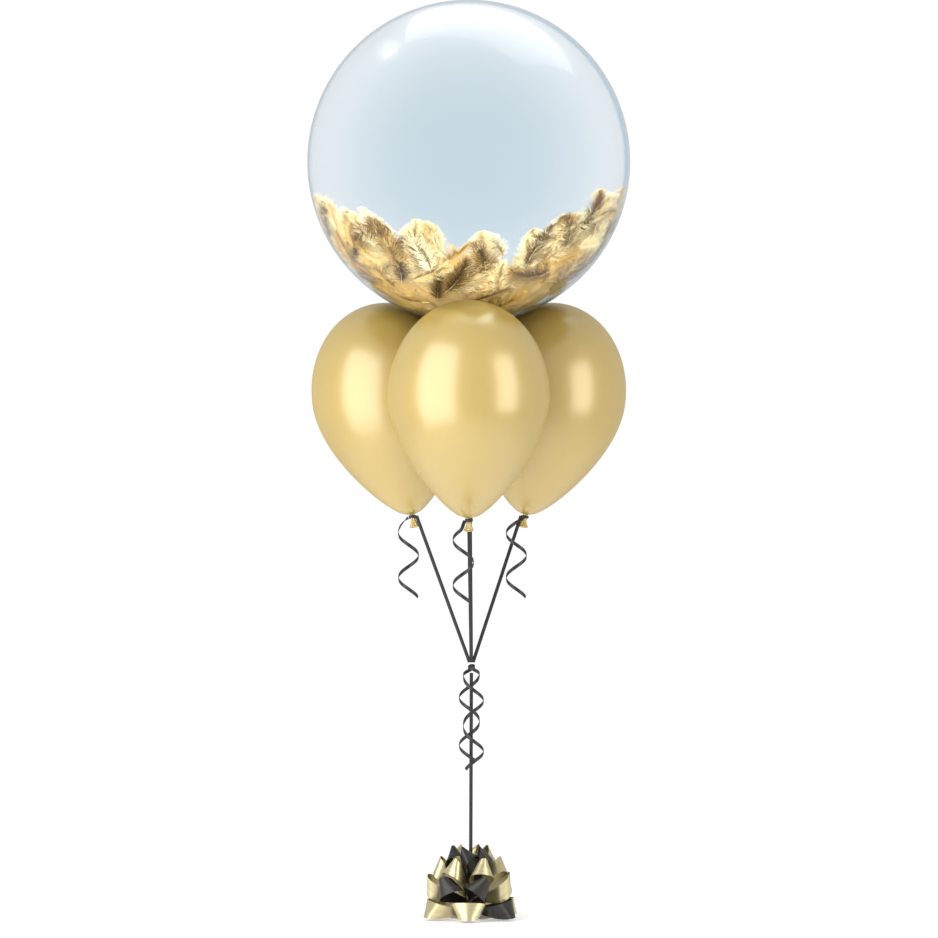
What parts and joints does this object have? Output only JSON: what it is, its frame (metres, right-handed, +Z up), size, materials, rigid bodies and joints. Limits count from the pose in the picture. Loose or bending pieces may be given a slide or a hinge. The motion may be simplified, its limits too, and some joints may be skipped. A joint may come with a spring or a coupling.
{
  "type": "bubble balloon bouquet",
  "caption": "Clear bubble balloon with feathers sealed inside, over pearl-gold balloons tied by curling ribbon to a gold and black bow it stands on.",
  "frame": {"origin": "middle of the underside of the bow's round base, on the surface that the bouquet stands on", "axes": "+Z up along the long ribbon, -Y towards the front, which the single gold balloon faces"},
  "size_m": [0.5542, 0.5666, 1.5785],
  "materials": {
    "clear_film": "clear stretched film, very faintly blue",
    "gold_latex": "pearl-gold latex, satin with a metallic sheen",
    "curling_ribbon": "black crimped polypropylene ribbon, fine lengthways ribs",
    "gold_bow_ribbon": "champagne-gold satin metallic ribbon",
    "black_bow_ribbon": "black satin ribbon with a soft grey sheen",
    "base_card": "white card"
  },
  "bodies": {
    "root": {"black_loop_bottom_2": "black_bow_ribbon", "black_loop_bottom_4": "black_bow_ribbon", "black_loop_second_1": "black_bow_ribbon", "black_loop_second_4": "black_bow_ribbon", "black_loop_second_7": "black_bow_ribbon", "black_loop_third_3": "black_bow_ribbon", "black_loop_top_1": "black_bow_ribbon", "black_loop_top_2": "black_bow_ribbon", "black_loop_top_6": "black_bow_ribbon", "bow_base": "base_card", "bubble_balloon": "clear_film", "curled_tail_front": "curling_ribbon", "curled_tail_knot_long": "curling_ribbon", "curled_tail_knot_short": "curling_ribbon", "curled_tail_left": "curling_ribbon", "curled_tail_right": "curling_ribbon", "gold_balloon_front": "gold_latex", "gold_balloon_left": "gold_latex", "gold_balloon_right": "gold_latex", "gold_loop_bottom_1": "gold_bow_ribbon", "gold_loop_bottom_3": "gold_bow_ribbon", "gold_loop_bottom_5": "gold_bow_ribbon", "gold_loop_bottom_6": "gold_bow_ribbon", "gold_loop_second_2": "gold_bow_ribbon", "gold_loop_second_3": "gold_bow_ribbon", "gold_loop_second_5": "gold_bow_ribbon", "gold_loop_second_6": "gold_bow_ribbon", "gold_loop_third_1": "gold_bow_ribbon", "gold_loop_third_2": "gold_bow_ribbon", "gold_loop_third_4": "gold_bow_ribbon", "gold_loop_third_5": "gold_bow_ribbon", "gold_loop_third_6": "gold_bow_ribbon", "gold_loop_top_3": "gold_bow_ribbon", "gold_loop_top_4": "gold_bow_ribbon", "gold_loop_top_5": "gold_bow_ribbon", "ribbon_bubble": "curling_ribbon", "ribbon_front": "curling_ribbon", "ribbon_knot": "curling_ribbon", "ribbon_left": "curling_ribbon", "ribbon_main": "curling_ribbon", "ribbon_right": "curling_ribbon"}
  },
  "joints": []
}
